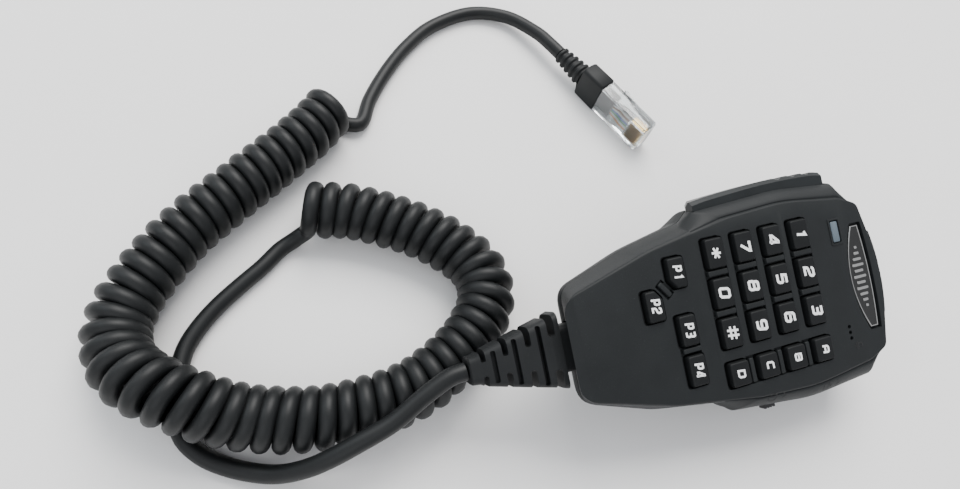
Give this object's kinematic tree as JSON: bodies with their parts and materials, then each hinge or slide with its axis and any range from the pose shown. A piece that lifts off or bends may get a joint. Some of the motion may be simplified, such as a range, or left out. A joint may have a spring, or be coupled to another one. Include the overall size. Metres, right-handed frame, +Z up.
{
  "type": "hand microphone",
  "caption": "Hand microphone for a mobile radio with a keypad, push-to-talk bar, slide switches, hanger button, strain relief and curly cord ending in a clear modular plug.",
  "frame": {"origin": "on the table, under the middle of the microphone's own bounding box, without the cord and what is on it", "axes": "+Z up from the table; +Y towards the microphone's top end, away from the cord; +X towards its low side, opposite the push-to-talk bar"},
  "size_m": [0.173, 0.2252, 0.0417],
  "materials": {
    "charcoal_plastic": "fine matte texture",
    "black_rubber": "matte",
    "key_rubber": "matte, white legends",
    "black_plastic": "satin",
    "cord_vinyl": "satin vinyl jacket",
    "clear_plastic": "clear",
    "window_plastic": "smoked light guide",
    "plate_plastic": "dark plate with a silver rim",
    "board_green": "solder resist",
    "white_plastic": "satin",
    "steel": "zinc plated"
  },
  "bodies": {
    "microphone_case": {"back_shell": "charcoal_plastic", "board_screw_1": "steel", "board_screw_2": "steel", "capsule_boot": "black_rubber", "case_screw_1": "steel", "case_screw_2": "steel", "case_screw_3": "steel", "case_screw_4": "steel", "circuit_board": "board_green", "cord_coil": "cord_vinyl", "cord_header": "white_plastic", "cord_lead": "cord_vinyl", "cord_plug_lead": "cord_vinyl", "down_switch": "black_plastic", "front_shell": "charcoal_plastic", "hanger_button": "black_plastic", "hanger_screw": "steel", "keypad_mat": "black_rubber", "lamp_switch": "black_plastic", "led_window": "window_plastic", "lock_switch": "black_plastic", "mic_capsule": "steel", "nameplate": "plate_plastic", "plug_body": "clear_plastic", "plug_boot": "black_rubber", "ptt_pivot_pin": "steel", "ptt_switch": "black_plastic", "status_led": "white_plastic", "strain_relief": "black_rubber", "up_switch": "black_plastic"},
    "key_0": {"key_0": "key_rubber"},
    "key_1": {"key_1": "key_rubber"},
    "key_2": {"key_2": "key_rubber"},
    "key_3": {"key_3": "key_rubber"},
    "key_4": {"key_4": "key_rubber"},
    "key_5": {"key_5": "key_rubber"},
    "key_6": {"key_6": "key_rubber"},
    "key_7": {"key_7": "key_rubber"},
    "key_8": {"key_8": "key_rubber"},
    "key_9": {"key_9": "key_rubber"},
    "key_a": {"key_a": "key_rubber"},
    "key_b": {"key_b": "key_rubber"},
    "key_c": {"key_c": "key_rubber"},
    "key_d": {"key_d": "key_rubber"},
    "key_hash": {"key_hash": "key_rubber"},
    "key_p1": {"key_p1": "key_rubber"},
    "key_p2": {"key_p2": "key_rubber"},
    "key_p3": {"key_p3": "key_rubber"},
    "key_p4": {"key_p4": "key_rubber"},
    "key_star": {"key_star": "key_rubber"},
    "ptt_bar": {"ptt_bar": "black_rubber"},
    "up_key": {"up_key": "black_rubber"},
    "down_key": {"down_key": "black_rubber"},
    "lamp_slider": {"lamp_slider": "black_plastic"},
    "lock_slider": {"lock_slider": "black_plastic"},
    "plug_latch": {"plug_latch": "clear_plastic"}
  },
  "joints": [
    {"name": "key_0_press", "type": "slide", "parent": "microphone_case", "child": "key_0", "axis": [-0.3746, 0, -0.9272], "range_m": [0, 0.0008], "stiffness_N_per_m": 250},
    {"name": "key_1_press", "type": "slide", "parent": "microphone_case", "child": "key_1", "axis": [-0.3746, 0, -0.9272], "range_m": [0, 0.0008], "stiffness_N_per_m": 250},
    {"name": "key_2_press", "type": "slide", "parent": "microphone_case", "child": "key_2", "axis": [-0.3746, 0, -0.9272], "range_m": [0, 0.0008], "stiffness_N_per_m": 250},
    {"name": "key_3_press", "type": "slide", "parent": "microphone_case", "child": "key_3", "axis": [-0.3746, 0, -0.9272], "range_m": [0, 0.0008], "stiffness_N_per_m": 250},
    {"name": "key_4_press", "type": "slide", "parent": "microphone_case", "child": "key_4", "axis": [-0.3746, 0, -0.9272], "range_m": [0, 0.0008], "stiffness_N_per_m": 250},
    {"name": "key_5_press", "type": "slide", "parent": "microphone_case", "child": "key_5", "axis": [-0.3746, 0, -0.9272], "range_m": [0, 0.0008], "stiffness_N_per_m": 250},
    {"name": "key_6_press", "type": "slide", "parent": "microphone_case", "child": "key_6", "axis": [-0.3746, 0, -0.9272], "range_m": [0, 0.0008], "stiffness_N_per_m": 250},
    {"name": "key_7_press", "type": "slide", "parent": "microphone_case", "child": "key_7", "axis": [-0.3746, 0, -0.9272], "range_m": [0, 0.0008], "stiffness_N_per_m": 250},
    {"name": "key_8_press", "type": "slide", "parent": "microphone_case", "child": "key_8", "axis": [-0.3746, 0, -0.9272], "range_m": [0, 0.0008], "stiffness_N_per_m": 250},
    {"name": "key_9_press", "type": "slide", "parent": "microphone_case", "child": "key_9", "axis": [-0.3746, 0, -0.9272], "range_m": [0, 0.0008], "stiffness_N_per_m": 250},
    {"name": "key_a_press", "type": "slide", "parent": "microphone_case", "child": "key_a", "axis": [-0.3746, 0, -0.9272], "range_m": [0, 0.0008], "stiffness_N_per_m": 250},
    {"name": "key_b_press", "type": "slide", "parent": "microphone_case", "child": "key_b", "axis": [-0.3746, 0, -0.9272], "range_m": [0, 0.0008], "stiffness_N_per_m": 250},
    {"name": "key_c_press", "type": "slide", "parent": "microphone_case", "child": "key_c", "axis": [-0.3746, 0, -0.9272], "range_m": [0, 0.0008], "stiffness_N_per_m": 250},
    {"name": "key_d_press", "type": "slide", "parent": "microphone_case", "child": "key_d", "axis": [-0.3746, 0, -0.9272], "range_m": [0, 0.0008], "stiffness_N_per_m": 250},
    {"name": "key_hash_press", "type": "slide", "parent": "microphone_case", "child": "key_hash", "axis": [-0.3746, 0, -0.9272], "range_m": [0, 0.0008], "stiffness_N_per_m": 250},
    {"name": "key_p1_press", "type": "slide", "parent": "microphone_case", "child": "key_p1", "axis": [-0.3746, 0, -0.9272], "range_m": [0, 0.0008], "stiffness_N_per_m": 250},
    {"name": "key_p2_press", "type": "slide", "parent": "microphone_case", "child": "key_p2", "axis": [-0.3746, 0, -0.9272], "range_m": [0, 0.0008], "stiffness_N_per_m": 250},
    {"name": "key_p3_press", "type": "slide", "parent": "microphone_case", "child": "key_p3", "axis": [-0.3746, 0, -0.9272], "range_m": [0, 0.0008], "stiffness_N_per_m": 250},
    {"name": "key_p4_press", "type": "slide", "parent": "microphone_case", "child": "key_p4", "axis": [-0.3746, 0, -0.9272], "range_m": [0, 0.0008], "stiffness_N_per_m": 250},
    {"name": "key_star_press", "type": "slide", "parent": "microphone_case", "child": "key_star", "axis": [-0.3746, 0, -0.9272], "range_m": [0, 0.0008], "stiffness_N_per_m": 250},
    {"name": "ptt_bar_press", "type": "hinge", "parent": "microphone_case", "child": "ptt_bar", "pos_m": [-0.02571, -0.0044, 0.03342], "axis": [-0.3746, 0, -0.9272], "range_deg": [0, 3.5], "stiffness_Nm_per_rad": 1.5, "springref_deg": -1.15},
    {"name": "up_key_press", "type": "slide", "parent": "microphone_case", "child": "up_key", "axis": [0, -1, 0], "range_m": [0, 0.0006], "stiffness_N_per_m": 250},
    {"name": "down_key_press", "type": "slide", "parent": "microphone_case", "child": "down_key", "axis": [0, -1, 0], "range_m": [0, 0.0006], "stiffness_N_per_m": 250},
    {"name": "lamp_slider_slide", "type": "slide", "parent": "microphone_case", "child": "lamp_slider", "axis": [0, 1, 0], "range_m": [-0.0015, 0.0015]},
    {"name": "lock_slider_slide", "type": "slide", "parent": "microphone_case", "child": "lock_slider", "axis": [0, 1, 0], "range_m": [-0.0015, 0.0015]},
    {"name": "plug_latch_flex", "type": "hinge", "parent": "microphone_case", "child": "plug_latch", "pos_m": [-0.07314, 0.01533, 0.00655], "axis": [0, 0, 1], "range_deg": [0, 8], "stiffness_Nm_per_rad": 0.08}
  ]
}
